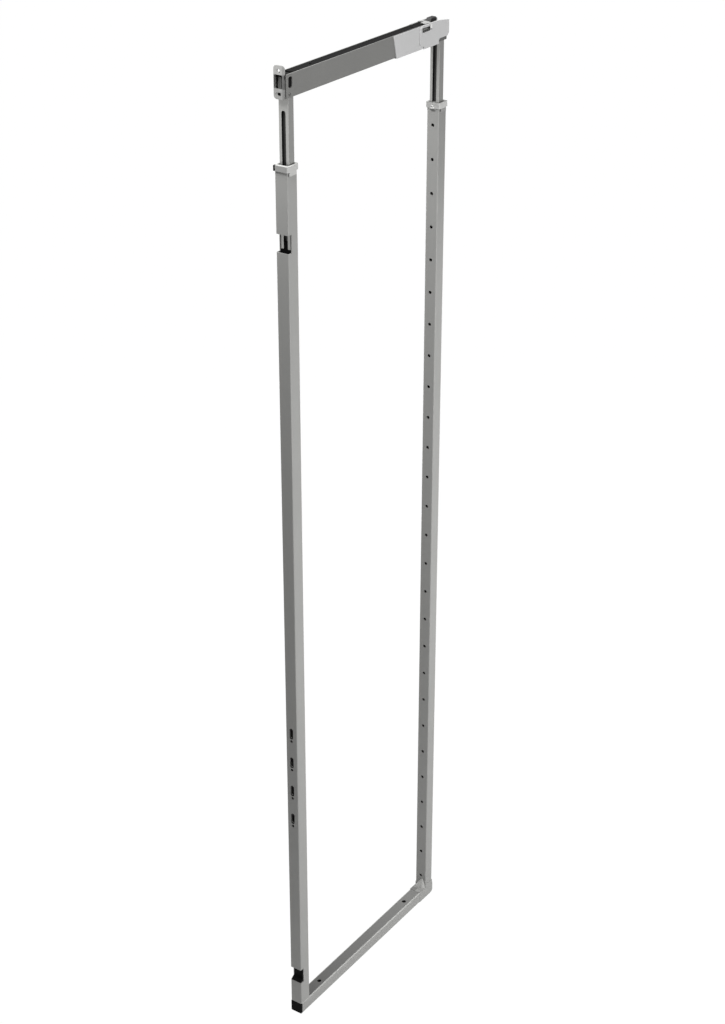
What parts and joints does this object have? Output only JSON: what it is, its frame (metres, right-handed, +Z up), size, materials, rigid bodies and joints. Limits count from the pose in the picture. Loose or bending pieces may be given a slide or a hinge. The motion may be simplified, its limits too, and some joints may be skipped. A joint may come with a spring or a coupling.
{
  "type": "pull-out pantry frame",
  "caption": "Tall pull-out larder frame: punched posts on a bottom bar, telescopic slotted head, top channel on a ceiling rail and an adjustable door bracket.",
  "frame": {"origin": "midway between the two runner bolts, on the underside of the bottom bar", "axes": "+Z up along the posts, -Y towards the door, +X across the frame's width"},
  "size_m": [0.03, 0.489, 1.923],
  "materials": {
    "frame_grey": "satin silver-grey powder coat",
    "light_cast": "light grey coated casting",
    "light_cover": "light grey coated sheet steel",
    "channel_grey": "dark silver-grey coated steel",
    "rail_black": "black coated steel",
    "riser_alu": "matt anodised",
    "bracket_steel": "zinc-plated pressing",
    "screw_steel": "zinc-plated fastener",
    "black_plastic": "matt black moulding",
    "roller_nylon": "pale nylon"
  },
  "bodies": {
    "frame": {"bottom_bar": "frame_grey", "front_bar_plug": "black_plastic", "rear_corner": "light_cast", "front_post": "frame_grey", "rear_post": "frame_grey", "hook_seat": "black_plastic", "front_collar": "light_cast", "rear_collar": "light_cast", "front_bush": "black_plastic", "rear_bush": "black_plastic", "front_collar_wedge": "black_plastic", "rear_collar_wedge": "black_plastic", "front_clamp_screw": "screw_steel", "rear_clamp_screw": "screw_steel", "front_clamp_nut": "screw_steel", "rear_clamp_nut": "screw_steel", "bar_corner_screw": "screw_steel", "post_corner_screw": "screw_steel"},
    "head": {"front_riser": "riser_alu", "rear_riser": "riser_alu", "front_glide": "black_plastic", "rear_glide": "black_plastic", "front_riser_screw": "screw_steel", "rear_riser_screw": "screw_steel", "top_channel": "channel_grey", "nose_block": "black_plastic", "nose_rivet": "screw_steel", "roller_housing": "light_cover", "rear_bracket": "light_cover", "rear_head_block": "channel_grey", "rail_clip": "screw_steel", "front_roller_pin": "screw_steel", "rear_roller_pin": "screw_steel"},
    "rail": {"ceiling_rail": "rail_black", "rail_stop": "black_plastic", "rail_end_cap": "black_plastic"},
    "roller_front": {"front_roller": "roller_nylon"},
    "roller_rear": {"rear_roller": "roller_nylon"},
    "bracket": {"door_bracket": "bracket_steel"},
    "spindle": {"adjuster_spindle": "screw_steel"}
  },
  "joints": [
    {"name": "head_height", "type": "slide", "parent": "frame", "child": "head", "axis": [0, 0, 1], "range_m": [-0.09, 0.08]},
    {"name": "rail_travel", "type": "slide", "parent": "head", "child": "rail", "axis": [0, 1, 0], "range_m": [0, 0.355]},
    {"name": "roller_front_spin", "type": "hinge", "parent": "head", "child": "roller_front", "pos_m": [0, 0.166, 1.895], "axis": [0, 0, 1], "continuous": true},
    {"name": "roller_rear_spin", "type": "hinge", "parent": "head", "child": "roller_rear", "pos_m": [0, 0.188, 1.895], "axis": [0, 0, 1], "continuous": true},
    {"name": "bracket_lift", "type": "slide", "parent": "head", "child": "bracket", "axis": [0, 0, 1], "range_m": [-0.003, 0.003]},
    {"name": "spindle_turn", "type": "hinge", "parent": "head", "child": "spindle", "pos_m": [-0.002, -0.2284, 1.89], "axis": [0, 0, 1], "continuous": true}
  ],
  "couplings": [
    {"joint": "roller_front_spin", "follows": "rail_travel", "rad_per_m": 138.89},
    {"joint": "roller_rear_spin", "follows": "rail_travel", "rad_per_m": 138.89},
    {"joint": "spindle_turn", "follows": "bracket_lift", "rad_per_m": 4188.8}
  ]
}
